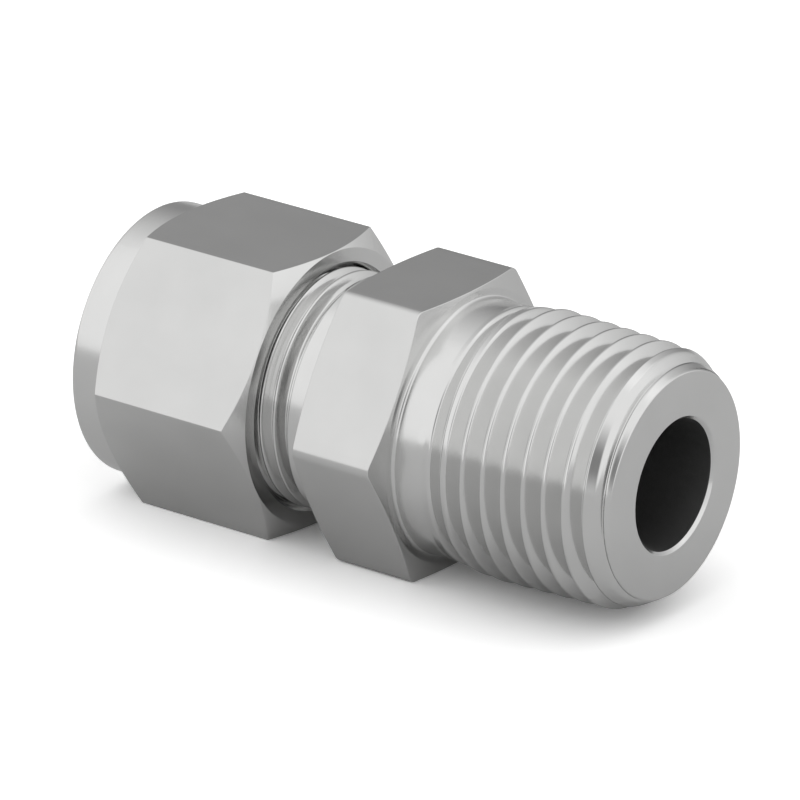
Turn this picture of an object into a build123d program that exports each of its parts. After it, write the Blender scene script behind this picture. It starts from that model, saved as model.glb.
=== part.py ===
"""Male connector: a twin-ferrule tube fitting with a tapered male pipe thread.

The axis of the fitting is X. The tube stop shoulder is at x = 0, the pipe thread points along +X and the
nut along -X. The fitting lies on a flat of its hexagons, so a flat faces -Z. It is modelled finger tight,
with no tube. All sizes are in millimetres and degrees.
"""

from build123d import *
from math import ceil, cos, floor, radians, sqrt, tan
import os

# Tube end

TUBE_DIAMETER = 12.7
SOCKET_CLEARANCE = 0.07
SOCKET_DEPTH = 13.3
SOCKET_CONE_RISE = 1.58
SOCKET_CONE_ANGLE = 20.0
STOP_SHOULDER_WIDTH = 1.22
MOUTH_WALL = 0.746
TUBE_END_LENGTH = 12.4
TUBE_END_CHAMFER_ANGLE = 30.0

# Straight thread of the tube end and the nut

STRAIGHT_PITCH = 1.27
OUTSIDE_CREST_SHARE = 1 / 8
OUTSIDE_ROOT_SHARE = 1 / 6
INSIDE_CREST_SHARE = 1 / 4
THREAD_HALF_ANGLE = 30.0
THREAD_FLANK_GAP = 0.06
THREAD_ROOT_GAP = 0.1
THREAD_PHASE = -57.0

# Hexagons of the body and the nut, which share one width across flats

WALL_OVER_STRAIGHT_THREAD = 1.5875
STEP_OVER_PIPE_THREAD = 0.25

# Body hexagon, plain shoulder and relief groove

BODY_HEX_LENGTH = 7.95
BODY_CHAMFER_INSET = 0.21
BODY_CHAMFER_ANGLE = 15.0
BODY_EDGE_RADIUS = 1.0
SHOULDER_STEP = 0.075
SHOULDER_LENGTH = 2.3
RELIEF_WIDTH = 0.7
RELIEF_STEP = 0.05
EDGE_BREAK = 0.12

# Pipe end

PIPE_END_LENGTH = 19.05
PIPE_PITCH_DIAMETER = 19.264
PIPE_THREADS_PER_INCH = 14
PIPE_CREST_FLAT = 0.18
PIPE_ROOT_FLAT = 0.14
PIPE_TAPER_ON_DIAMETER = 1 / 16
PIPE_FACE_INSET = 0.02
PIPE_FACE_EDGE = 0.12
PIPE_CHAMFER_ANGLE = 30.0
PIPE_BORE_CHAMFER = 0.25
PIPE_RUN_OUT_TURNS = 0.6
PIPE_RUN_OUT_ANGLE = 40.0
PIPE_PHASE = 57.0
NECK_LENGTH = 2.7
NECK_STEP = 0.62
NECK_FILLET = 0.6
NECK_BLEND_ANGLE = 10.5

# Nut

NUT_GAP = 5.15
NUT_CHAMFER_INSET = 0.06
NUT_CHAMFER_ANGLE = 30.0
NUT_EDGE_RADIUS = 0.15
NUT_COLLAR_LENGTH = 2.7
NUT_COLLAR_INSET = 0.16
NUT_COLLAR_EDGE_RADIUS = 0.4
NUT_TUBE_CLEARANCE = 0.15
NUT_TUBE_HOLE_LENGTH = 4.35
NUT_TUBE_HOLE_CHAMFER = 0.3
NUT_MOUTH_STEP = 0.325
NUT_MOUTH_ANGLE = 45.0
NUT_UNDERCUT_LENGTH = 1.5
NUT_UNDERCUT_STEP = 0.12
NUT_POCKET_LENGTH = 0.3
NUT_POCKET_CLEARANCE = 0.5

# Ferrules

FERRULE_CLEARANCE = 0.05
FERRULE_SEAT_GAP = 0.05
FERRULE_STEP = 0.1
FRONT_NOSE_BASE_INSET = 0.3
FRONT_NOSE_TIP_WALL = 0.35
FRONT_BAND_GAP = 0.3
FRONT_BAND_LENGTH = 1.8
COUNTERSINK_RISE = 0.9
COUNTERSINK_ANGLE = 45.0
BACK_NOSE_TIP_WALL = 0.2
BACK_NOSE_BASE_INSET = 0.3
BACK_FLANGE_GAP = 0.3
BACK_FLANGE_LENGTH = 1.2
BACK_REAR_WALL = 0.3
DRIVE_ANGLE = 45.0

# How far a cutter stands past the surface that it cuts

CUT_MARGIN = 0.1
MM_PER_INCH = 25.4


def run_for(rise, angle):
    """Axial length of a cone that rises by the given amount at an angle to the axis."""
    return rise / tan(radians(angle))


# Radii that follow from the sizes above, from the tube outwards

tube_radius = TUBE_DIAMETER / 2
socket_radius = tube_radius + SOCKET_CLEARANCE
bore_radius = socket_radius - STOP_SHOULDER_WIDTH
mouth_radius = socket_radius + SOCKET_CONE_RISE
ferrule_bore_radius = tube_radius + FERRULE_CLEARANCE
ferrule_radius = mouth_radius + FERRULE_STEP
countersink_radius = ferrule_bore_radius + COUNTERSINK_RISE

flank_slope = tan(radians(THREAD_HALF_ANGLE))
outside_crest_flat = STRAIGHT_PITCH * OUTSIDE_CREST_SHARE
outside_root_flat = STRAIGHT_PITCH * OUTSIDE_ROOT_SHARE
inside_crest_flat = STRAIGHT_PITCH * INSIDE_CREST_SHARE
straight_depth = (STRAIGHT_PITCH - outside_crest_flat - outside_root_flat) / (2 * flank_slope)
inside_depth = (STRAIGHT_PITCH - outside_crest_flat - inside_crest_flat) / (2 * flank_slope)
straight_root = mouth_radius + MOUTH_WALL
straight_crest = straight_root + straight_depth
shoulder_radius = straight_crest + SHOULDER_STEP
relief_radius = straight_root - RELIEF_STEP

nut_hole_radius = tube_radius + NUT_TUBE_CLEARANCE
nut_pocket_radius = ferrule_radius + NUT_POCKET_CLEARANCE
nut_minor_radius = straight_crest - inside_depth
nut_root_radius = straight_crest + THREAD_ROOT_GAP
nut_mouth_radius = nut_root_radius + NUT_MOUTH_STEP
nut_undercut_radius = nut_root_radius + NUT_UNDERCUT_STEP

pipe_pitch = MM_PER_INCH / PIPE_THREADS_PER_INCH
pipe_cone_slope = PIPE_TAPER_ON_DIAMETER / 2
pipe_depth = (pipe_pitch - PIPE_CREST_FLAT - PIPE_ROOT_FLAT) / (2 * flank_slope)
pipe_end_crest = PIPE_PITCH_DIAMETER / 2 + (pipe_pitch / 2 - PIPE_CREST_FLAT) / (2 * flank_slope)
pipe_face_radius = pipe_end_crest - pipe_depth - PIPE_FACE_INSET

# Places along the axis, from the tube stop outwards

stop_x = 0.0
mouth_x = stop_x - SOCKET_DEPTH
hex_rear_x = mouth_x + TUBE_END_LENGTH
hex_front_x = hex_rear_x + BODY_HEX_LENGTH
pipe_end_x = hex_front_x + PIPE_END_LENGTH
neck_end_x = hex_front_x + NECK_LENGTH
shoulder_x = hex_rear_x - SHOULDER_LENGTH
relief_x = shoulder_x - RELIEF_WIDTH

band_x = mouth_x - FRONT_BAND_GAP
front_ferrule_rear_x = band_x - FRONT_BAND_LENGTH
back_flange_x = front_ferrule_rear_x - BACK_FLANGE_GAP
back_flange_rear_x = back_flange_x - BACK_FLANGE_LENGTH

drive_x = back_flange_rear_x - FERRULE_SEAT_GAP
nut_hole_end_x = drive_x - run_for(ferrule_radius - nut_hole_radius, DRIVE_ANGLE)
nut_pocket_x = drive_x + run_for(nut_pocket_radius - ferrule_radius, DRIVE_ANGLE)
nut_undercut_x = nut_pocket_x + NUT_POCKET_LENGTH
nut_thread_x = nut_undercut_x + NUT_UNDERCUT_LENGTH
nut_rear_x = nut_hole_end_x - NUT_TUBE_HOLE_LENGTH
nut_front_x = hex_rear_x - NUT_GAP


def pipe_crest(x):
    """Radius of the pipe thread's crest cone at x."""
    return pipe_end_crest + (pipe_end_x - x) * pipe_cone_slope


neck_radius = pipe_crest(neck_end_x) - NECK_STEP
flat_radius = max(straight_crest + WALL_OVER_STRAIGHT_THREAD, pipe_crest(hex_front_x) + STEP_OVER_PIPE_THREAD)


def ring_about_axis(outline):
    """Revolve a closed outline of (x, radius) points about the axis of the fitting."""
    with BuildSketch(Plane.XY) as sketch:
        with BuildLine():
            Polyline(*outline, close=True)
        make_face()
    return revolve(sketch.sketch, Axis.X)


def hexagon_prism(edge_radius, x_start, x_end):
    """A hexagonal bar along X with a flat facing -Z and rounded long edges."""
    with BuildSketch(Plane.YZ.offset(x_start)) as sketch:
        RegularPolygon(flat_radius, 6, major_radius=False)
        fillet(sketch.vertices(), edge_radius)
    return extrude(sketch.sketch, x_end - x_start)


def turned_hexagon(edge_radius, face_inset, chamfer_angle, x_start, x_end):
    """A hexagonal bar whose corners are turned away at both ends, down to face_inset below the flats."""
    face_radius = flat_radius - face_inset
    outside = flat_radius * 2 / sqrt(3) + CUT_MARGIN
    fall = (outside - face_radius) * tan(radians(chamfer_angle))
    envelope = ring_about_axis([
        (x_start, 0), (x_start, face_radius), (x_start + fall, outside),
        (x_end - fall, outside), (x_end, face_radius), (x_end, 0),
    ])
    return hexagon_prism(edge_radius, x_start, x_end) & envelope


def helical_cutter(section, pitch, x_start, radius, turns, cone_slope=0.0, phase=0.0):
    """One helical stretch of a thread cutter, right-handed about X.

    The section is a list of (dx, dr) corners about the point (x_start, radius), in a plane through the axis.
    It starts at the phase angle, advances one pitch along +X a turn, and its radius grows by cone_slope.
    """
    cone_angle = Vector(1, 0).get_angle(Vector(1, cone_slope)) * (1 if cone_slope >= 0 else -1)
    slant = cos(radians(cone_angle))
    edges = [
        Edge.make_helix(
            pitch / slant, pitch * turns, radius + dr, (x_start + dx, 0, 0), (1, 0, 0), cone_angle
        ).rotate(Axis.X, phase)
        for dx, dr in section
    ]
    walls = [Face.make_surface_from_curves(edge, edges[i - 1]) for i, edge in enumerate(edges)]
    ends = [Face(Wire.make_polygon([edge @ end for edge in edges], close=True)) for end in (0, 1)]
    return Solid(Shell(walls + ends))


def thread_cutters(section, pitch, x_start, radius, turns, cone_slope=0.0, phase=0.0):
    """The cutter of helical_cutter, in stretches of one turn, with a shorter last one."""
    cutters = []
    for turn in range(ceil(turns)):
        cutters.append(helical_cutter(
            section, pitch, x_start + turn * pitch, radius + turn * pitch * cone_slope,
            min(1.0, turns - turn), cone_slope, phase,
        ))
    return cutters


def groove_section(root_flat, depth, outward=False):
    """A V groove with a flat root at (0, 0), open past the surface that it is cut in."""
    side = -1 if outward else 1
    reach = depth + CUT_MARGIN
    half_root = root_flat / 2
    half_mouth = half_root + reach * flank_slope
    return [(-half_root, 0), (-half_mouth, side * reach), (half_mouth, side * reach), (half_root, 0)]


def straight_thread_cutters():
    """The groove of the tube end's outside thread, which runs out into the relief groove."""
    section = groove_section(outside_root_flat, straight_depth)
    last_x = shoulder_x - section[2][0] - EDGE_BREAK
    turns = (last_x - mouth_x) / STRAIGHT_PITCH + 1
    return thread_cutters(
        section, STRAIGHT_PITCH, mouth_x - STRAIGHT_PITCH, straight_root, turns, phase=THREAD_PHASE
    )


def nut_thread_cutters():
    """The groove of the nut's inside thread, half a pitch from that of the tube end."""
    root_flat = outside_crest_flat + 2 * (THREAD_FLANK_GAP - THREAD_ROOT_GAP * flank_slope)
    section = groove_section(root_flat, nut_root_radius - nut_minor_radius, outward=True)
    steps_back = floor((nut_thread_x + section[2][0] - mouth_x) / STRAIGHT_PITCH - 0.5) + 0.5
    x_start = mouth_x + steps_back * STRAIGHT_PITCH
    turns = ceil((nut_front_x - x_start) / STRAIGHT_PITCH) + 0.5
    return thread_cutters(section, STRAIGHT_PITCH, x_start, nut_root_radius, turns, phase=THREAD_PHASE)


def pipe_thread_cutters():
    """The tapered groove of the pipe thread, and its run-out towards the neck."""
    section = groove_section(PIPE_ROOT_FLAT, pipe_depth)
    run_out_length = PIPE_RUN_OUT_TURNS * pipe_pitch
    full_x = neck_end_x + run_out_length
    turns = ceil((pipe_end_x - full_x) / pipe_pitch) + 0.5
    full = thread_cutters(
        section, pipe_pitch, full_x, pipe_crest(full_x) - pipe_depth, turns, -pipe_cone_slope, PIPE_PHASE
    )
    rise = tan(radians(PIPE_RUN_OUT_ANGLE))
    start_radius = pipe_crest(full_x) - pipe_depth + run_out_length * rise
    run_out = thread_cutters(
        section, pipe_pitch, neck_end_x, start_radius, PIPE_RUN_OUT_TURNS, -rise,
        PIPE_PHASE - 360 * PIPE_RUN_OUT_TURNS,
    )
    return run_out + full


def tube_end_blank():
    """The tube end, its relief groove and the plain shoulder, before threading."""
    lip_radius = straight_root - EDGE_BREAK
    lip = run_for(straight_crest - lip_radius, TUBE_END_CHAMFER_ANGLE)
    return ring_about_axis([
        (mouth_x, 0), (mouth_x, lip_radius), (mouth_x + lip, straight_crest), (relief_x, straight_crest),
        (relief_x, relief_radius), (shoulder_x, relief_radius), (shoulder_x, shoulder_radius - EDGE_BREAK),
        (shoulder_x + EDGE_BREAK, shoulder_radius), (hex_front_x, shoulder_radius), (hex_front_x, 0),
    ])


def pipe_end_blank():
    """The neck and the tapered pipe end with its chamfer and broken end edge, before threading."""
    blend_x = neck_end_x + run_for(NECK_STEP, NECK_BLEND_ANGLE)
    chamfer_slope = tan(radians(PIPE_CHAMFER_ANGLE))
    chamfer_x = pipe_end_x - (pipe_end_crest - pipe_face_radius) / (chamfer_slope - pipe_cone_slope)
    edge_x = pipe_end_x - PIPE_FACE_EDGE
    return ring_about_axis([
        (hex_rear_x, 0), (hex_rear_x, neck_radius), (neck_end_x, neck_radius),
        (blend_x, pipe_crest(blend_x)), (chamfer_x, pipe_crest(chamfer_x)),
        (edge_x, pipe_face_radius + PIPE_FACE_EDGE * chamfer_slope),
        (pipe_end_x, pipe_face_radius - PIPE_FACE_EDGE), (pipe_end_x, 0),
    ])


def body_passage():
    """The ferrule cone, tube socket, stop shoulder and through bore, as the space to cut."""
    cone_end_x = mouth_x + run_for(SOCKET_CONE_RISE, SOCKET_CONE_ANGLE)
    mouth_out = CUT_MARGIN * tan(radians(SOCKET_CONE_ANGLE))
    chamfer_radius = bore_radius + PIPE_BORE_CHAMFER
    return ring_about_axis([
        (mouth_x - CUT_MARGIN, 0), (mouth_x - CUT_MARGIN, mouth_radius + mouth_out),
        (cone_end_x, socket_radius), (stop_x, socket_radius), (stop_x, bore_radius),
        (pipe_end_x - PIPE_BORE_CHAMFER, bore_radius), (pipe_end_x, chamfer_radius),
        (pipe_end_x + CUT_MARGIN, chamfer_radius + CUT_MARGIN), (pipe_end_x + CUT_MARGIN, 0),
    ])


def connector_body():
    """The one-piece body: tube end, shoulder, hexagon, neck and pipe end."""
    hexagon = turned_hexagon(
        BODY_EDGE_RADIUS, BODY_CHAMFER_INSET, BODY_CHAMFER_ANGLE, hex_rear_x, hex_front_x
    )
    pipe_end = pipe_end_blank()
    for cutter in pipe_thread_cutters():
        pipe_end = pipe_end - cutter
    tube_end = tube_end_blank()
    for cutter in straight_thread_cutters():
        tube_end = tube_end - cutter
    body = hexagon + pipe_end + tube_end
    neck_root = [
        edge for edge in body.edges().filter_by(GeomType.CIRCLE)
        if abs(edge.radius - neck_radius) < CUT_MARGIN and abs(edge.center().X - hex_front_x) < CUT_MARGIN
    ]
    body = fillet(neck_root, NECK_FILLET)
    return body - body_passage()


def nut_passage():
    """The tube hole, driving cone, ferrule pocket, undercut and threaded bore, as the space to cut."""
    mouth_depth = run_for(nut_mouth_radius - nut_minor_radius, NUT_MOUTH_ANGLE)
    return ring_about_axis([
        (nut_rear_x - CUT_MARGIN, 0),
        (nut_rear_x - CUT_MARGIN, nut_hole_radius + NUT_TUBE_HOLE_CHAMFER + CUT_MARGIN),
        (nut_rear_x + NUT_TUBE_HOLE_CHAMFER, nut_hole_radius), (nut_hole_end_x, nut_hole_radius),
        (nut_pocket_x, nut_pocket_radius), (nut_undercut_x, nut_pocket_radius),
        (nut_undercut_x, nut_undercut_radius), (nut_thread_x, nut_undercut_radius),
        (nut_thread_x, nut_minor_radius), (nut_front_x - mouth_depth, nut_minor_radius),
        (nut_front_x, nut_mouth_radius), (nut_front_x + CUT_MARGIN, nut_mouth_radius + CUT_MARGIN),
        (nut_front_x + CUT_MARGIN, 0),
    ])


def nut():
    """The one-piece nut: hexagon with turned ends, round collar, driving cone and inside thread."""
    collar_end_x = nut_rear_x + NUT_COLLAR_LENGTH
    collar_radius = flat_radius - NUT_COLLAR_INSET
    hexagon = turned_hexagon(
        NUT_EDGE_RADIUS, NUT_CHAMFER_INSET, NUT_CHAMFER_ANGLE, collar_end_x, nut_front_x
    )
    collar = ring_about_axis([
        (nut_rear_x, 0), (nut_rear_x, collar_radius), (collar_end_x, collar_radius), (collar_end_x, 0)
    ])
    rim = collar.edges().filter_by(GeomType.CIRCLE).sort_by(Axis.X)[0]
    blank = hexagon + fillet(rim, NUT_COLLAR_EDGE_RADIUS)
    bored = blank - nut_passage()
    for cutter in nut_thread_cutters():
        bored = bored - cutter
    return bored


def front_ferrule():
    """The front ferrule: a tapered nose seated in the socket cone, a band, and a countersunk rear end."""
    base_radius = mouth_radius - FRONT_NOSE_BASE_INSET
    tip_radius = ferrule_bore_radius + FRONT_NOSE_TIP_WALL
    seat_x = mouth_x - FERRULE_SEAT_GAP
    base_x = seat_x + run_for(mouth_radius - base_radius, SOCKET_CONE_ANGLE)
    tip_x = seat_x + run_for(mouth_radius - tip_radius, SOCKET_CONE_ANGLE)
    countersink_x = front_ferrule_rear_x + run_for(COUNTERSINK_RISE, COUNTERSINK_ANGLE)
    return ring_about_axis([
        (front_ferrule_rear_x, countersink_radius), (front_ferrule_rear_x, ferrule_radius),
        (band_x, ferrule_radius), (band_x, base_radius), (base_x, base_radius), (tip_x, tip_radius),
        (tip_x, ferrule_bore_radius), (countersink_x, ferrule_bore_radius),
    ])


def back_ferrule():
    """The back ferrule: a nose in the front ferrule's countersink, and a flange with a sloping rear end."""
    base_radius = countersink_radius - BACK_NOSE_BASE_INSET
    tip_radius = ferrule_bore_radius + BACK_NOSE_TIP_WALL
    rear_radius = ferrule_bore_radius + BACK_REAR_WALL
    seat_x = front_ferrule_rear_x - FERRULE_SEAT_GAP
    base_x = seat_x + run_for(countersink_radius - base_radius, COUNTERSINK_ANGLE)
    tip_x = seat_x + run_for(countersink_radius - tip_radius, COUNTERSINK_ANGLE)
    rear_x = back_flange_rear_x - run_for(ferrule_radius - rear_radius, DRIVE_ANGLE)
    return ring_about_axis([
        (rear_x, ferrule_bore_radius), (rear_x, rear_radius), (back_flange_rear_x, ferrule_radius),
        (back_flange_x, ferrule_radius), (back_flange_x, base_radius), (base_x, base_radius),
        (tip_x, tip_radius), (tip_x, ferrule_bore_radius),
    ])


os.makedirs("parts", exist_ok=True)
export_step(connector_body(), "parts/connector_body.step")
export_step(nut(), "parts/nut.step")
export_step(front_ferrule(), "parts/front_ferrule.step")
export_step(back_ferrule(), "parts/back_ferrule.step")
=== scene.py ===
"""Looks of a male connector: a steel body, a nut and two ferrules on one axis, lit in a plain studio.

The axis of the fitting is X. Sizes are in millimetres until a mesh is written, which is in metres.
A place on a surface is given by x along the axis, a radius from it, and an angle from +Y towards +Z.
"""

import logging
import math
from dataclasses import dataclass, field
from enum import Enum

import bmesh
import bpy
import numpy as np
from mathutils import Matrix


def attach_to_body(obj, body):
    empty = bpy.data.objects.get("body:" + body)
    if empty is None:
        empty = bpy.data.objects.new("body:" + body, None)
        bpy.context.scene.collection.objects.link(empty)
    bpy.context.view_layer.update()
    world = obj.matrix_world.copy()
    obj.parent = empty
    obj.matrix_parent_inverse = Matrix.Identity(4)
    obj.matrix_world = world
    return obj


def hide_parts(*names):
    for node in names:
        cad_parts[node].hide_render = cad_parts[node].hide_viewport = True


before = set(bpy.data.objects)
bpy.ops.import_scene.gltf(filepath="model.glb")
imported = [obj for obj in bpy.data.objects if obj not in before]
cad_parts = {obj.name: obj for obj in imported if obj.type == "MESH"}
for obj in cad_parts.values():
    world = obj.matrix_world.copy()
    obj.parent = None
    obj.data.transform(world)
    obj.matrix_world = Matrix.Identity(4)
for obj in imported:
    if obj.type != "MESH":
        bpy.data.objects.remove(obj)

LOG = logging.getLogger("male_connector")
MM = 0.001
SIXTH = 60.0
WELD_MM = 0.0002
DRAWN_STRETCH = 0.03
MARK_DETAIL = 3.0
CLOUD_DETAIL = 4.0
LEAST_TURN = 0.05
MOST_OF_SIDE = 0.45
LARGE_ROUND_MM = 0.3
LARGE_ROUND_STEPS = 7
SMALL_ROUND_STEPS = 4


def add_math(tree: bpy.types.NodeTree, operation: str, *values: object) -> bpy.types.NodeSocket:
    """Add a Math node to a node tree.

    Args:
        tree: the node tree.
        operation: the node's operation.
        values: a socket or a number for each input.

    Returns:
        The node's output.
    """
    node = tree.nodes.new("ShaderNodeMath")
    node.operation = operation
    for slot, value in zip(node.inputs, values):
        if isinstance(value, bpy.types.NodeSocket):
            tree.links.new(value, slot)
        else:
            slot.default_value = value
    return node.outputs[0]


def add_mix(
    tree: bpy.types.NodeTree, factor: bpy.types.NodeSocket, low: object, high: float
) -> bpy.types.NodeSocket:
    """Add a Mix node that goes from low to high by a factor.

    Args:
        tree: the node tree.
        factor: how far it goes, from 0 to 1.
        low: the value at 0, a socket or a number.
        high: the value at 1.

    Returns:
        The node's output.
    """
    mix = tree.nodes.new("ShaderNodeMix")
    tree.links.new(factor, mix.inputs["Factor"])
    if isinstance(low, bpy.types.NodeSocket):
        tree.links.new(low, mix.inputs["A"])
    else:
        mix.inputs["A"].default_value = low
    mix.inputs["B"].default_value = high
    return mix.outputs["Result"]


def add_noise(
    tree: bpy.types.NodeTree, place: bpy.types.NodeSocket, scale: float, detail: float
) -> bpy.types.NodeSocket:
    """Add a noise of the given scale (waves a metre) and detail at a place, and return its value."""
    node = tree.nodes.new("ShaderNodeTexNoise")
    node.inputs["Scale"].default_value = scale
    node.inputs["Detail"].default_value = detail
    tree.links.new(place, node.inputs["Vector"])
    return node.outputs[0]


class Finish(Enum):
    """The surfaces of the fitting that look different from each other; the bore's surfaces also have
    painted shade in their darker colour.
    """

    FLATS = 0
    TURNED = 1
    THREAD = 2
    BORE = 3


@dataclass(frozen=True)
class SteelFinish:
    """One machined steel surface, worked out from Object coordinates."""

    name: str
    colour: tuple[float, float, float]
    roughness: float
    roughness_spread: float
    mark_scale: float
    mark_depth: float
    along_axis: bool = False
    cloud_scale: float = 220.0
    cloud_share: float = 0.06

    def material(self) -> bpy.types.Material:
        """Build the shader: tool marks as bump, soft clouds in colour and roughness.

        Tool marks are noise stretched along the cut. Turned marks read (x, radius), so that they run in
        rings, and drawn marks read (y, z) with a little of x, so that they run along the bar.

        Returns:
            The finished material.
        """
        made = bpy.data.materials.new(self.name)
        made.use_nodes = True
        tree = made.node_tree
        nodes, links = tree.nodes, tree.links
        shader = nodes["Principled BSDF"]
        shader.inputs["Metallic"].default_value = 1.0
        place = nodes.new("ShaderNodeTexCoord").outputs["Object"]
        split = nodes.new("ShaderNodeSeparateXYZ")
        links.new(place, split.inputs[0])
        join = nodes.new("ShaderNodeCombineXYZ")
        if self.along_axis:
            shrink = add_math(tree, "MULTIPLY", split.outputs["X"], DRAWN_STRETCH)
            links.new(shrink, join.inputs["X"])
            links.new(split.outputs["Y"], join.inputs["Y"])
            links.new(split.outputs["Z"], join.inputs["Z"])
        else:
            y_square = add_math(tree, "MULTIPLY", split.outputs["Y"], split.outputs["Y"])
            z_square = add_math(tree, "MULTIPLY", split.outputs["Z"], split.outputs["Z"])
            radius = add_math(tree, "SQRT", add_math(tree, "ADD", y_square, z_square))
            links.new(split.outputs["X"], join.inputs["X"])
            links.new(radius, join.inputs["Y"])
        marks = add_noise(tree, join.outputs[0], self.mark_scale, MARK_DETAIL)
        clouds = add_noise(tree, place, self.cloud_scale, CLOUD_DETAIL)
        tint = nodes.new("ShaderNodeMix")
        tint.data_type = "RGBA"
        links.new(clouds, tint.inputs["Factor"])
        dark = tuple(c * (1 - self.cloud_share) for c in self.colour)
        light = tuple(min(1.0, c * (1 + self.cloud_share)) for c in self.colour)
        tint.inputs["A"].default_value = (*dark, 1)
        tint.inputs["B"].default_value = (*light, 1)
        links.new(tint.outputs["Result"], shader.inputs["Base Color"])
        rough = nodes.new("ShaderNodeMapRange")
        links.new(marks, rough.inputs["Value"])
        rough.inputs["To Min"].default_value = self.roughness - self.roughness_spread
        rough.inputs["To Max"].default_value = self.roughness + self.roughness_spread
        links.new(rough.outputs["Result"], shader.inputs["Roughness"])
        bump = nodes.new("ShaderNodeBump")
        bump.inputs["Strength"].default_value = 1.0
        bump.inputs["Distance"].default_value = self.mark_depth
        links.new(marks, bump.inputs["Height"])
        links.new(bump.outputs["Normal"], shader.inputs["Normal"])
        return made


STEEL = (0.70, 0.70, 0.695)
FLAT_STEEL = (0.64, 0.64, 0.635)


def steel_materials() -> list[bpy.types.Material]:
    """Build the four finishes, in the order of the Finish options. The bore's dark colour is painted shade.
    """
    finishes = (
        SteelFinish("drawn_flat_steel", FLAT_STEEL, 0.25, 0.04, 5200.0, 0.0000015, along_axis=True),
        SteelFinish("turned_steel", STEEL, 0.20, 0.04, 6000.0, 0.0000012),
        SteelFinish("thread_steel", STEEL, 0.16, 0.03, 5000.0, 0.0000008),
        # The bore's dark colour (0.30) is painted shade inside the passages; its higher roughness and
        # deeper marks are its own finish.
        SteelFinish("bore_steel_painted_shade", (0.30, 0.30, 0.30), 0.45, 0.05, 4000.0, 0.0000030),
    )
    return [finish.material() for finish in finishes]


@dataclass(frozen=True)
class Hexagon:
    """The section of a hexagonal bar with a flat facing down and rounded long edges."""

    flat_radius: float
    edge_radius: float

    @property
    def tangent_angle(self) -> float:
        """Angle from the middle of a flat to where its edge rounding starts, in degrees."""
        half_width = (self.flat_radius - self.edge_radius) * math.tan(math.radians(SIXTH / 2))
        return math.degrees(math.atan2(half_width, self.flat_radius))

    def columns(self, edge_steps: int, flat_steps: int) -> np.ndarray:
        """Angles about the axis for a grid, close together on the rounded edges.

        Args:
            edge_steps: steps across half of a rounded edge.
            flat_steps: steps across a flat.

        Returns:
            Angles in degrees from 0 up to, and without, 360, starting on an edge.
        """
        half = SIXTH / 2
        edge = np.linspace(0, half - self.tangent_angle, edge_steps, endpoint=False)
        flat = np.linspace(half - self.tangent_angle, half + self.tangent_angle, flat_steps + 1)
        one = np.concatenate([edge, flat, SIXTH - edge[:0:-1]])
        return np.concatenate([one + SIXTH * i for i in range(6)])

    def radius(self, angle: np.ndarray) -> np.ndarray:
        """Radius of the section: flat_radius / cos on a flat, and the edge circle beyond its tangent."""
        from_flat = np.abs((angle % SIXTH) - SIXTH / 2)
        flat = self.flat_radius / np.cos(np.radians(from_flat))
        from_edge = np.radians(SIXTH / 2 - from_flat)
        centre = (self.flat_radius - self.edge_radius) / math.cos(math.radians(SIXTH / 2))
        reach = np.maximum(self.edge_radius**2 - (centre * np.sin(from_edge)) ** 2, 0)
        edge = centre * np.cos(from_edge) + np.sqrt(reach)
        return np.where(from_flat <= self.tangent_angle, flat, edge)


@dataclass(frozen=True)
class Thread:
    """A helical groove in a turned envelope, as a radius for each x and angle.

    The groove's middle advances one pitch along X for each turn from +Y towards +Z. Outside threads are cut
    down from the envelope, and inside threads are cut up from it. Where they meet, the corner is softened.
    """

    pitch: float
    groove_x: float
    root_radius: float
    root_flat: float
    crest_flat: float
    x_start: float
    x_end: float
    envelope: tuple[tuple[float, float], ...]
    slope: float = 0.0
    run_out_x: float = -math.inf
    run_out_slope: float = 0.0
    outside: bool = True
    soft: float = 0.06
    half_angle: float = 30.0

    def radius(self, x: np.ndarray, angle: np.ndarray) -> np.ndarray:
        """Radius at x and angle: the softened lesser (or greater) of the envelope and the nearest groove.

        The groove is a V with a flat root: root radius + (distance from its flat) / tan(half angle).
        """
        turn = angle / 360.0
        whole = np.round((x - self.groove_x) / self.pitch - turn)
        middle = self.groove_x + self.pitch * (whole + turn)
        root = self.root_radius + self.slope * (middle - self.x_end)
        root = root + self.run_out_slope * np.maximum(self.run_out_x - middle, 0)
        flank = math.tan(math.radians(self.half_angle))
        off = np.maximum(np.abs(x - middle) - self.root_flat / 2, 0) / flank
        places, heights = zip(*self.envelope)
        blank = np.interp(x, places, heights)
        sign = 1 if self.outside else -1
        a, b = sign * blank, sign * root + off
        lower = np.minimum(a, b) - np.maximum(self.soft - np.abs(a - b), 0) ** 2 / (4 * self.soft)
        return sign * lower

    def stations(self, flank_steps: int, crest_steps: int) -> np.ndarray:
        """Places across one pitch, from the middle of a groove, close together at the crest's corners."""
        root = self.root_flat / 2
        crest = (self.pitch - self.crest_flat) / 2
        ease = np.sin(np.linspace(0, math.pi / 2, flank_steps + 1))
        flank = root + (crest - root) * ease
        top = np.linspace(crest, self.pitch / 2, crest_steps + 1)[1:]
        half = np.concatenate([[0.0], flank, top])
        return np.concatenate([-half[:0:-1], half[:-1]])

    def band(self, columns: np.ndarray, flank_steps: int, crest_steps: int) -> "Band":
        """A strip of grid rows that follow the helix, held between the planes x_start and x_end.

        Row i lies at (station i + pitch * turn) along X, so the end of each row meets the start of the row
        one pitch further on, and each row past an end plane is laid onto it.
        """
        one = self.stations(flank_steps, crest_steps)
        first = math.floor((self.x_start - self.groove_x) / self.pitch) - 1
        last = math.ceil((self.x_end - self.groove_x) / self.pitch) + 1
        rows = np.concatenate([self.groove_x + self.pitch * k + one for k in range(first, last)])
        x = np.clip(rows[:, None] + self.pitch * columns[None, :] / 360.0, self.x_start, self.x_end)
        angle = np.broadcast_to(columns, x.shape)
        return Band(x, self.radius(x, angle), Finish.THREAD, shift=len(one))


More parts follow.
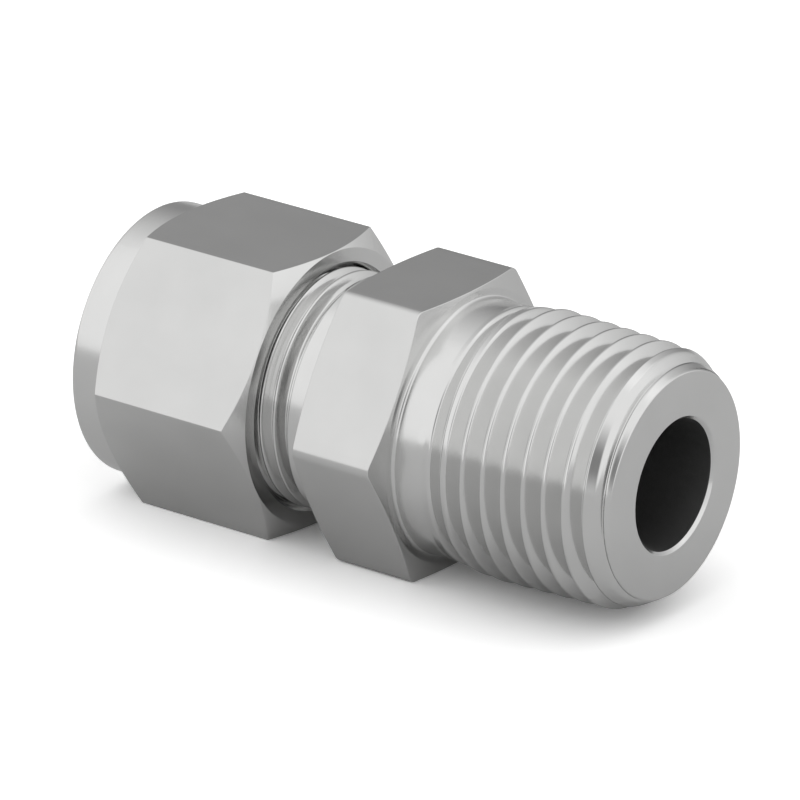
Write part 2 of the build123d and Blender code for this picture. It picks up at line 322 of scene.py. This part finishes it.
@dataclass(frozen=True)
class Corner:
    """One corner of an outline: x and radius (a number, or one for each column), and how it is rounded."""

    x: float | np.ndarray
    radius: float | np.ndarray
    round: float = 0.0
    finish: Finish = Finish.TURNED


@dataclass
class Band:
    """A grid of points about the axis: x and radius for each row and column.

    The last column joins the first one, shift rows further on.
    """

    x: np.ndarray
    radius: np.ndarray
    finish: Finish | np.ndarray
    shift: int = 0

    def points(self, columns: np.ndarray) -> np.ndarray:
        """Places in space: (x, radius cos angle, radius sin angle), one row of three a point."""
        angle = np.radians(columns)[None, :]
        y, z = self.radius * np.cos(angle), self.radius * np.sin(angle)
        return np.stack([self.x, y, z], axis=-1).reshape(-1, 3)

    def quads(self) -> tuple[np.ndarray, np.ndarray]:
        """Corner indices of each quad, and the finish of each."""
        rows, count = self.x.shape
        index = np.arange(rows * count).reshape(rows, count)
        wrapped = np.concatenate([index[: rows - self.shift], index[self.shift:, :1]], axis=1)
        a, b = wrapped[:-1, :-1], wrapped[1:, :-1]
        c, d = wrapped[1:, 1:], wrapped[:-1, 1:]
        faces = np.stack([a, b, c, d], axis=-1).reshape(-1, 4)
        finish = self.finish.value if isinstance(self.finish, Finish) else self.finish[:, None]
        return faces, np.broadcast_to(finish, a.shape).reshape(-1)


def outline_band(corners: list[Corner], columns: np.ndarray, closed: bool = False) -> Band:
    """Carry an outline about the axis, with its corners rounded.

    Each rounded corner is a quadratic curve between two points at the same reach from the corner: reach =
    round / tan(inner angle / 2), and at most MOST_OF_SIDE of the shorter side.

    Args:
        corners: the outline's corners in order.
        columns: angles of the grid's columns.
        closed: whether the last corner joins the first.

    Returns:
        The band of rows through the rounded outline.
    """
    count = len(columns)
    full = np.array([
        [np.broadcast_to(corner.x, count), np.broadcast_to(corner.radius, count)] for corner in corners
    ]).transpose(0, 2, 1)
    rows, finishes = [], []
    last = len(corners) - 1
    for i, corner in enumerate(corners):
        here = full[i]
        if corner.round == 0 or (not closed and i in (0, last)):
            rows.append(here)
            finishes.append(corner.finish.value)
            continue
        before, after = full[i - 1] - here, full[(i + 1) % len(corners)] - here
        to_before, to_after = (np.linalg.norm(v, axis=1, keepdims=True) for v in (before, after))
        before, after = before / to_before, after / to_after
        inner = np.arccos(np.clip((before * after).sum(1, keepdims=True), -1, 1))
        reach = corner.round / np.tan(np.maximum(inner, LEAST_TURN) / 2)
        reach = np.minimum(reach, MOST_OF_SIDE * np.minimum(to_before, to_after))
        steps = LARGE_ROUND_STEPS if corner.round > LARGE_ROUND_MM else SMALL_ROUND_STEPS
        for t in np.linspace(0, 1, steps):
            curve = here + reach * ((1 - t) ** 2 * before + t**2 * after)
            rows.append(curve)
            finishes.append(corner.finish.value)
    if closed:
        rows.append(rows[0])
        finishes.append(finishes[0])
    grid = np.array(rows)
    return Band(grid[:, :, 0], grid[:, :, 1], np.array(finishes[:-1]))


def build_mesh(name: str, bands: list[Band], columns: np.ndarray, materials: list) -> bpy.types.Object:
    """Weld bands into one closed mesh, with normals weighted by the area of the faces around each point.

    Args:
        name: the piece's name.
        bands: grids that meet in common rings of points.
        columns: angles of the columns that all bands share.
        materials: one material for each finish.

    Returns:
        The object, at the origin, with its place in its mesh.
    """
    points = np.concatenate([band.points(columns) for band in bands])
    starts = np.cumsum([0] + [band.x.size for band in bands[:-1]])
    parts = [band.quads() for band in bands]
    faces = np.concatenate([quads + start for (quads, _), start in zip(parts, starts)])
    finish = np.concatenate([values for _, values in parts])
    _, kept, index = np.unique(np.round(points / WELD_MM), axis=0, return_index=True, return_inverse=True)
    points, faces = points[kept], index.reshape(-1)[faces]
    same = faces == np.roll(faces, -1, axis=1)
    crossed = (faces[:, 0] == faces[:, 2]) | (faces[:, 1] == faces[:, 3])
    whole = (same.sum(1) == 0) & ~crossed
    part = (same.sum(1) == 1) & ~crossed
    corners = faces[part]
    triangles = corners[~same[part]].reshape(-1, 3)
    mesh = bpy.data.meshes.new(name)
    mesh.from_pydata((points * MM).tolist(), [], faces[whole].tolist() + triangles.tolist())
    slots = np.concatenate([finish[whole], finish[part]]).astype(np.int32)
    mesh.polygons.foreach_set("material_index", slots)
    mesh.polygons.foreach_set("use_smooth", np.ones(len(mesh.polygons), bool))
    for material in materials:
        mesh.materials.append(material)
    shell = bmesh.new()
    shell.from_mesh(mesh)
    loose = [vert for vert in shell.verts if not vert.link_faces]
    bmesh.ops.delete(shell, geom=loose, context="VERTS")
    bmesh.ops.recalc_face_normals(shell, faces=shell.faces)
    open_edges = sum(1 for edge in shell.edges if len(edge.link_faces) != 2)
    shell.to_mesh(mesh)
    shell.free()
    mesh.normals_split_custom_set_from_vertices(area_normals(mesh))
    piece = bpy.data.objects.new(name, mesh)
    bpy.context.scene.collection.objects.link(piece)
    counts = len(mesh.vertices), len(mesh.polygons), open_edges
    LOG.info("%s: %d points, %d faces, %d open edges", name, *counts)
    return piece


def area_normals(mesh: bpy.types.Mesh) -> np.ndarray:
    """Normal at each vertex: the sum of its faces' normals, each times its area, brought to length 1."""
    size = len(mesh.polygons)
    areas, normals = np.zeros(size), np.zeros(size * 3)
    mesh.polygons.foreach_get("area", areas)
    mesh.polygons.foreach_get("normal", normals)
    totals = np.zeros(size, np.int32)
    mesh.polygons.foreach_get("loop_total", totals)
    loops = np.zeros(len(mesh.loops), np.int32)
    mesh.loops.foreach_get("vertex_index", loops)
    weighted = np.repeat(normals.reshape(-1, 3) * areas[:, None], totals, axis=0)
    summed = np.zeros((len(mesh.vertices), 3))
    np.add.at(summed, loops, weighted)
    length = np.linalg.norm(summed, axis=1, keepdims=True)
    return summed / np.where(length > 0, length, 1)


def chamfer_place(
    face_x: float, face_radius: float, angle: float, towards: int, bar: np.ndarray
) -> np.ndarray:
    """Where a turned chamfer leaves a bar: face_x + towards * (bar - face_radius) * tan(angle).

    Args:
        face_x: place of the flat face along X.
        face_radius: radius at which the face ends and the chamfer starts.
        angle: angle between the face and the chamfer, in degrees.
        towards: 1 where the bar lies on the +X side of the face, and -1 on the other.
        bar: radius of the bar for each column.

    Returns:
        The place along X for each column.
    """
    return face_x + towards * (bar - face_radius) * math.tan(math.radians(angle))


@dataclass
class ConnectorBody:
    """The one-piece body, from the tube end's mouth to the end of the pipe thread."""

    flat_radius: float = 11.11256
    edge_radius: float = 1.0
    hex_rear: float = -0.9
    hex_front: float = 7.05
    face_inset: float = 0.21
    chamfer_angle: float = 15.0
    shoulder_radius: float = 9.6
    shoulder_x: float = -3.2
    relief_x: float = -3.9
    relief_radius: float = 8.696
    mouth_x: float = -13.3
    mouth_radius: float = 8.0
    lip_radius: float = 8.626
    lip_angle: float = 30.0
    straight_pitch: float = 1.27
    straight_crest: float = 9.52506
    straight_root: float = 8.746
    straight_phase: float = 33.0
    socket_radius: float = 6.42
    socket_cone_end: float = -8.959
    bore_radius: float = 5.2
    bore_chamfer: float = 0.25
    neck_radius: float = 10.1527
    neck_end: float = 9.75
    neck_fillet: float = 0.6
    blend_angle: float = 10.5
    pipe_end: float = 26.1
    pipe_pitch: float = 25.4 / 14
    pipe_end_crest: float = 10.26172
    pipe_taper: float = 1 / 32
    pipe_depth: float = 1.29409
    pipe_root_flat: float = 0.14
    pipe_crest_flat: float = 0.18
    pipe_phase: float = 147.0
    pipe_face_radius: float = 8.9476
    pipe_chamfer_angle: float = 30.0
    run_out_turns: float = 0.6
    run_out_angle: float = 40.0
    end_round: float = 0.2
    relief_round: float = 0.08
    shoulder_round: float = 0.12
    shoulder_foot_round: float = 0.1
    bore_edge_round: float = 0.05
    broken: float = 0.06
    straight_soft: float = 0.05
    pipe_soft: float = 0.07
    hex_steps: tuple[int, int] = (4, 24)
    straight_steps: tuple[int, int] = (4, 1)
    pipe_steps: tuple[int, int] = (9, 3)
    section: Hexagon = field(init=False)

    def __post_init__(self) -> None:
        """Make the hexagon's section from the body's own sizes."""
        self.section = Hexagon(self.flat_radius, self.edge_radius)

    def crest(self, x: float) -> float:
        """Radius of the pipe thread's crest cone at x."""
        return self.pipe_end_crest + (self.pipe_end - x) * self.pipe_taper

    def straight_thread(self) -> Thread:
        """The outside thread of the tube end."""
        lip = (self.straight_crest - self.lip_radius) / math.tan(math.radians(self.lip_angle))
        return Thread(
            pitch=self.straight_pitch,
            groove_x=self.mouth_x - self.straight_pitch * self.straight_phase / 360,
            root_radius=self.straight_root,
            root_flat=self.straight_pitch / 6,
            crest_flat=self.straight_pitch / 8,
            x_start=self.mouth_x,
            x_end=self.relief_x,
            envelope=((self.mouth_x, self.lip_radius), (self.mouth_x + lip, self.straight_crest),
                      (self.relief_x, self.straight_crest)),
            soft=self.straight_soft,
        )

    def pipe_thread(self) -> Thread:
        """The tapered outside thread, which runs out towards the neck and is chamfered at its end."""
        full_x = self.neck_end + self.run_out_turns * self.pipe_pitch
        blend_x = self.neck_end + (self.crest(self.neck_end) - self.neck_radius) / math.tan(
            math.radians(self.blend_angle)
        )
        slope = math.tan(math.radians(self.pipe_chamfer_angle))
        chamfer_rise = self.pipe_end_crest - self.pipe_face_radius
        chamfer_x = self.pipe_end - chamfer_rise / (slope - self.pipe_taper)
        edge_x = self.pipe_end - self.end_round
        return Thread(
            pitch=self.pipe_pitch,
            groove_x=full_x - self.pipe_pitch * self.pipe_phase / 360,
            root_radius=self.crest(edge_x) - self.pipe_depth,
            root_flat=self.pipe_root_flat,
            crest_flat=self.pipe_crest_flat,
            x_start=self.neck_end - self.neck_fillet,
            x_end=edge_x,
            envelope=(
                (self.neck_end, self.neck_radius), (blend_x, self.crest(blend_x)),
                (chamfer_x, self.crest(chamfer_x)), (self.pipe_end, self.pipe_face_radius),
            ),
            slope=-self.pipe_taper,
            run_out_x=full_x,
            run_out_slope=math.tan(math.radians(self.run_out_angle)),
            soft=self.pipe_soft,
        )

    def build(self, materials: list) -> bpy.types.Object:
        """Make the body's mesh: two threads, the outline between them, and the passage to the mouth."""
        columns = self.section.columns(*self.hex_steps)
        bar = self.section.radius(columns)
        face_radius = self.flat_radius - self.face_inset
        straight, pipe = self.straight_thread(), self.pipe_thread()
        rear = chamfer_place(self.hex_rear, face_radius, self.chamfer_angle, 1, bar)
        front = chamfer_place(self.hex_front, face_radius, self.chamfer_angle, -1, bar)
        middle = outline_band([
            Corner(self.relief_x, straight.radius(np.full_like(columns, self.relief_x), columns)),
            Corner(self.relief_x, self.relief_radius, self.relief_round),
            Corner(self.shoulder_x, self.relief_radius, self.relief_round),
            Corner(self.shoulder_x, self.shoulder_radius, self.shoulder_round),
            Corner(self.hex_rear, self.shoulder_radius, self.shoulder_foot_round),
            Corner(self.hex_rear, face_radius, self.broken),
            Corner(rear, bar, self.broken, Finish.FLATS),
            Corner(front, bar, self.broken),
            Corner(self.hex_front, face_radius, self.broken),
            Corner(self.hex_front, self.neck_radius, self.neck_fillet),
            Corner(pipe.x_start, self.neck_radius),
        ], columns)
        passage = outline_band([
            Corner(pipe.x_end, pipe.radius(np.full_like(columns, pipe.x_end), columns)),
            Corner(self.pipe_end, self.pipe_face_radius, self.end_round),
            Corner(self.pipe_end, self.bore_radius + self.bore_chamfer, self.bore_edge_round),
            Corner(self.pipe_end - self.bore_chamfer, self.bore_radius, self.bore_edge_round, Finish.BORE),
            Corner(0.0, self.bore_radius, self.broken, Finish.BORE),
            Corner(0.0, self.socket_radius, self.broken, Finish.BORE),
            Corner(self.socket_cone_end, self.socket_radius, self.broken),
            Corner(self.mouth_x, self.mouth_radius, self.broken),
            Corner(self.mouth_x, self.lip_radius),
        ], columns)
        turns = straight.band(columns, *self.straight_steps)
        pipe_turns = pipe.band(columns, *self.pipe_steps)
        return build_mesh("body_turned", [turns, middle, pipe_turns, passage], columns, materials)


@dataclass
class Nut:
    """The one-piece nut, with a round collar at its rear and an inside thread."""

    flat_radius: float = 11.11256
    edge_radius: float = 0.15
    rear: float = -22.9
    front: float = -6.05
    collar_end: float = -20.2
    collar_inset: float = 0.16
    chamfer_inset: float = 0.06
    collar_round: float = 0.4
    collar_foot_round: float = 0.05
    chamfer_angle: float = 30.0
    hole_radius: float = 6.5
    hole_chamfer: float = 0.3
    hole_end: float = -18.55
    pocket_x: float = -16.45
    pocket_radius: float = 8.6
    undercut_x: float = -16.15
    undercut_radius: float = 9.745
    thread_x: float = -14.65
    minor_radius: float = 8.8377
    root_radius: float = 9.62506
    mouth_radius: float = 9.95006
    mouth_start: float = -6.3
    pitch: float = 1.27
    groove_x: float = -13.3 + 1.27 / 2
    phase: float = 33.0
    root_flat: float = 0.1633
    soft: float = 0.04
    broken: float = 0.06
    hex_steps: tuple[int, int] = (2, 28)
    thread_steps: tuple[int, int] = (3, 1)

    def thread(self) -> Thread:
        """The inside thread, half a pitch from that of the tube end."""
        mouth_depth = self.mouth_radius - self.minor_radius
        return Thread(
            pitch=self.pitch,
            groove_x=self.groove_x - self.pitch * self.phase / 360,
            root_radius=self.root_radius,
            root_flat=self.root_flat,
            crest_flat=self.pitch / 4,
            x_start=self.thread_x,
            x_end=self.mouth_start,
            envelope=((self.thread_x, self.minor_radius), (self.front - mouth_depth, self.minor_radius),
                      (self.front, self.mouth_radius)),
            outside=False,
            soft=self.soft,
        )

    def build(self, materials: list) -> bpy.types.Object:
        """Make the nut's mesh: the outside, and the passage with its thread."""
        section = Hexagon(self.flat_radius, self.edge_radius)
        columns = section.columns(*self.hex_steps)
        bar = section.radius(columns)
        collar_radius = self.flat_radius - self.collar_inset
        face_radius = self.flat_radius - self.chamfer_inset
        thread = self.thread()
        rear = chamfer_place(self.collar_end, face_radius, self.chamfer_angle, 1, bar)
        front = chamfer_place(self.front, face_radius, self.chamfer_angle, -1, bar)
        mouth = thread.radius(np.full_like(columns, self.mouth_start), columns)
        outside = outline_band([
            Corner(self.thread_x, thread.radius(np.full_like(columns, self.thread_x), columns)),
            Corner(self.thread_x, self.undercut_radius, self.broken, Finish.BORE),
            Corner(self.undercut_x, self.undercut_radius, self.broken, Finish.BORE),
            Corner(self.undercut_x, self.pocket_radius, self.broken, Finish.BORE),
            Corner(self.pocket_x, self.pocket_radius, self.broken),
            Corner(self.hole_end, self.hole_radius, self.broken),
            Corner(self.rear + self.hole_chamfer, self.hole_radius, self.broken),
            Corner(self.rear, self.hole_radius + self.hole_chamfer, self.broken),
            Corner(self.rear, collar_radius, self.collar_round),
            Corner(self.collar_end, collar_radius, self.collar_foot_round),
            Corner(self.collar_end, face_radius, self.broken),
            Corner(rear, bar, self.broken, Finish.FLATS),
            Corner(front, bar, self.broken),
            Corner(self.front, face_radius, self.broken),
            Corner(self.front, self.mouth_radius, self.broken),
            Corner(self.mouth_start, mouth),
        ], columns)
        turns = thread.band(columns, *self.thread_steps)
        return build_mesh("nut_turned", [turns, outside], columns, materials)


@dataclass
class Ferrules:
    """The front and back ferrules, which seat in the body and in each other."""

    bore: float = 6.4
    outer: float = 8.1
    mouth_x: float = -13.3
    mouth_radius: float = 8.0
    seat_gap: float = 0.05
    cone_angle: float = 20.0
    band_x: float = -13.6
    front_rear: float = -15.4
    front_base: float = 7.7
    front_tip: float = 6.75
    countersink: float = 7.3
    flange_x: float = -15.7
    flange_rear: float = -16.9
    back_base: float = 7.0
    back_tip: float = 6.6
    back_rear: float = 6.7
    broken: float = 0.06
    steps: int = 144

    def build(self, materials: list) -> list[bpy.types.Object]:
        """Make both ferrules as closed rings."""
        columns = np.linspace(0, 360, self.steps, endpoint=False)
        slope = math.tan(math.radians(self.cone_angle))
        seat = self.mouth_x - self.seat_gap
        nose_base = seat + (self.mouth_radius - self.front_base) / slope
        nose_tip = seat + (self.mouth_radius - self.front_tip) / slope
        front = [
            (self.front_rear, self.countersink), (self.front_rear, self.outer), (self.band_x, self.outer),
            (self.band_x, self.front_base), (nose_base, self.front_base), (nose_tip, self.front_tip),
            (nose_tip, self.bore), (self.front_rear + self.countersink - self.bore, self.bore),
        ]
        seat = self.front_rear - self.seat_gap
        rear = self.flange_rear - (self.outer - self.back_rear)
        nose_base = seat + self.countersink - self.back_base
        nose_tip = seat + self.countersink - self.back_tip
        back = [
            (rear, self.bore), (rear, self.back_rear), (self.flange_rear, self.outer),
            (self.flange_x, self.outer), (self.flange_x, self.back_base), (nose_base, self.back_base),
            (nose_tip, self.back_tip), (nose_tip, self.bore),
        ]
        pieces = []
        for name, outline in (("front_ferrule_turned", front), ("back_ferrule_turned", back)):
            corners = [Corner(x, radius, self.broken) for x, radius in outline]
            ring = outline_band(corners, columns, closed=True)
            pieces.append(build_mesh(name, [ring], columns, materials))
        return pieces


@dataclass(frozen=True)
class DarkArea:
    """A darker area of the room, round one direction, with a soft edge."""

    towards: tuple[float, float, float]
    core: float
    reach: float
    least: float

    def share(self, tree: bpy.types.NodeTree, direction: bpy.types.NodeSocket) -> bpy.types.NodeSocket:
        """Add the nodes for the share of the room's light that comes from a direction.

        Args:
            tree: the world's node tree.
            direction: the direction, as a socket.

        Returns:
            The share: least within the core angle, rising evenly to 1 at the reach.
        """
        towards = tree.nodes.new("ShaderNodeVectorMath")
        towards.operation = "DOT_PRODUCT"
        tree.links.new(direction, towards.inputs[0])
        towards.inputs[1].default_value = np.array(self.towards) / np.linalg.norm(self.towards)
        share = tree.nodes.new("ShaderNodeMapRange")
        tree.links.new(add_math(tree, "ARCCOSINE", towards.outputs["Value"]), share.inputs["Value"])
        share.inputs["From Min"].default_value = math.radians(self.core)
        share.inputs["From Max"].default_value = math.radians(self.reach)
        share.inputs["To Min"].default_value = self.least
        return share.outputs["Result"]


@dataclass
class Studio:
    """The floor, the lamp, the world and the camera."""

    floor_z: float = -11.1126
    floor_half: float = 3000.0
    floor_seen: float = 1.45
    floor_mirrored: float = 0.62
    floor_lighting: float = 0.45
    floor_roughness: float = 0.9
    floor_gloss: float = 0.1
    target_x: float = -2.4
    azimuth: float = 34.919
    elevation: float = 21.919
    roll: float = 1.447
    distance: float = 650.0
    focal_pixels: float = 8412.453
    image_pixels: float = 800.0
    shift_pixels: tuple[float, float] = (-31.991, -2.677)
    sensor: float = 36.0
    clip_range: tuple[float, float] = (0.01, 20.0)
    key_place: tuple[float, float, float] = (350.0, 420.0, 800.0)
    key_width: float = 500.0
    key_level: float = 0.15
    room_light: float = 1.05
    dark_areas: tuple[DarkArea, ...] = (
        DarkArea((-0.38, 0.90, 0.22), 0.0, 68.0, 0.14),
        DarkArea((0.53, -0.76, 0.37), 8.0, 34.0, 0.25),
    )

    def camera(self) -> None:
        """Place the camera at the photograph's angle, with its lens and framing."""
        data = bpy.data.cameras.new("camera")
        data.sensor_width = self.sensor
        data.lens = self.focal_pixels / self.image_pixels * self.sensor
        data.shift_x = -self.shift_pixels[0] / self.image_pixels
        data.shift_y = self.shift_pixels[1] / self.image_pixels
        data.clip_start, data.clip_end = self.clip_range
        a, e, r = (math.radians(v) for v in (self.azimuth, self.elevation, self.roll))
        back = np.array([math.sin(a) * math.cos(e), -math.cos(a) * math.cos(e), math.sin(e)])
        right = np.array([math.cos(a), math.sin(a), 0.0])
        up = np.cross(back, right)
        turned_right = math.cos(r) * right + math.sin(r) * up
        turned_up = math.cos(r) * up - math.sin(r) * right
        place = (np.array([self.target_x, 0, 0]) + back * self.distance) * MM
        matrix = np.eye(4)
        matrix[:3] = np.stack([turned_right, turned_up, back, place], axis=1)
        camera = bpy.data.objects.new("camera", data)
        camera.matrix_world = Matrix(matrix.tolist())
        bpy.context.scene.collection.objects.link(camera)
        bpy.context.scene.camera = camera

    def floor(self) -> None:
        """Lay the pale floor: white to the camera but for the fitting's shadow, and darker in the steel."""
        half, low = self.floor_half * MM, self.floor_z * MM
        mesh = bpy.data.meshes.new("floor")
        corners = [(-half, -half, low), (half, -half, low), (half, half, low), (-half, half, low)]
        mesh.from_pydata(corners, [], [(0, 1, 2, 3)])
        material = bpy.data.materials.new("pale_floor")
        material.use_nodes = True
        tree = material.node_tree
        shader = tree.nodes["Principled BSDF"]
        shader.inputs["Roughness"].default_value = self.floor_roughness
        shader.inputs["Specular IOR Level"].default_value = self.floor_gloss
        path = tree.nodes.new("ShaderNodeLightPath").outputs
        mirrored = add_math(tree, "MAXIMUM", path["Is Glossy Ray"], path["Is Transmission Ray"])
        lighting = add_mix(tree, mirrored, self.floor_lighting, self.floor_mirrored)
        shown = add_mix(tree, path["Is Camera Ray"], lighting, self.floor_seen)
        tree.links.new(shown, shader.inputs["Base Color"])
        mesh.materials.append(material)
        floor = bpy.data.objects.new("floor", mesh)
        bpy.context.scene.collection.objects.link(floor)

    def world(self) -> None:
        """Fill the room with even light, less of it in the dark areas, and show white behind everything."""
        world = bpy.data.worlds.new("room")
        bpy.context.scene.world = world
        world.use_nodes = True
        tree = world.node_tree
        background = tree.nodes["Background"]
        background.inputs["Color"].default_value = (1, 1, 1, 1)
        direction = tree.nodes.new("ShaderNodeTexCoord").outputs["Generated"]
        level = self.room_light
        for area in self.dark_areas:
            level = add_math(tree, "MULTIPLY", area.share(tree, direction), level)
        path = tree.nodes.new("ShaderNodeLightPath").outputs
        tree.links.new(add_mix(tree, path["Is Camera Ray"], level, 1.0), background.inputs["Strength"])

    def lamp(self, name: str, place: tuple[float, float, float], width: float, level: float) -> None:
        """Add a soft square lamp that faces the fitting.

        Args:
            name: the lamp's name.
            place: its middle, in millimetres.
            width: its width, in millimetres.
            level: how bright its face is, where 1 is white.
        """
        data = bpy.data.lights.new(name, "AREA")
        data.shape = "SQUARE"
        data.size = width * MM
        data.energy = level * math.pi * data.size**2
        lamp = bpy.data.objects.new(name, data)
        away = np.array(place, float) / np.linalg.norm(place)
        side = np.cross([0.0, 0.0, 1.0], away)
        side = side / np.linalg.norm(side)
        matrix = np.eye(4)
        matrix[:3] = np.stack([side, np.cross(away, side), away, np.array(place) * MM], axis=1)
        lamp.matrix_world = Matrix(matrix.tolist())
        bpy.context.scene.collection.objects.link(lamp)

    def build(self) -> None:
        """Set up the whole studio."""
        bpy.context.scene.view_settings.view_transform = "Standard"
        self.camera()
        self.floor()
        self.world()
        self.lamp("key", self.key_place, self.key_width, self.key_level)


def attach(piece: bpy.types.Object, node: str, body: str) -> None:
    """Let a piece stand for a CAD node.

    Args:
        piece: the piece.
        node: the CAD node that it replaces.
        body: the body that it rides on.
    """
    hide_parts(node)
    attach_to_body(piece, body)
    LOG.info("%s stands for %s on %s", piece.name, node, body)


def main() -> None:
    """Build the studio and every piece."""
    logging.basicConfig(level=logging.INFO, format="%(message)s")
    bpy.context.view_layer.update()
    materials = steel_materials()
    Studio().build()
    attach(ConnectorBody().build(materials), "connector_body", "body")
    attach(Nut().build(materials), "nut", "nut")
    front, back = Ferrules().build(materials)
    attach(front, "front_ferrule", "ferrules")
    attach(back, "back_ferrule", "ferrules")


if __name__ == "__main__":
    main()
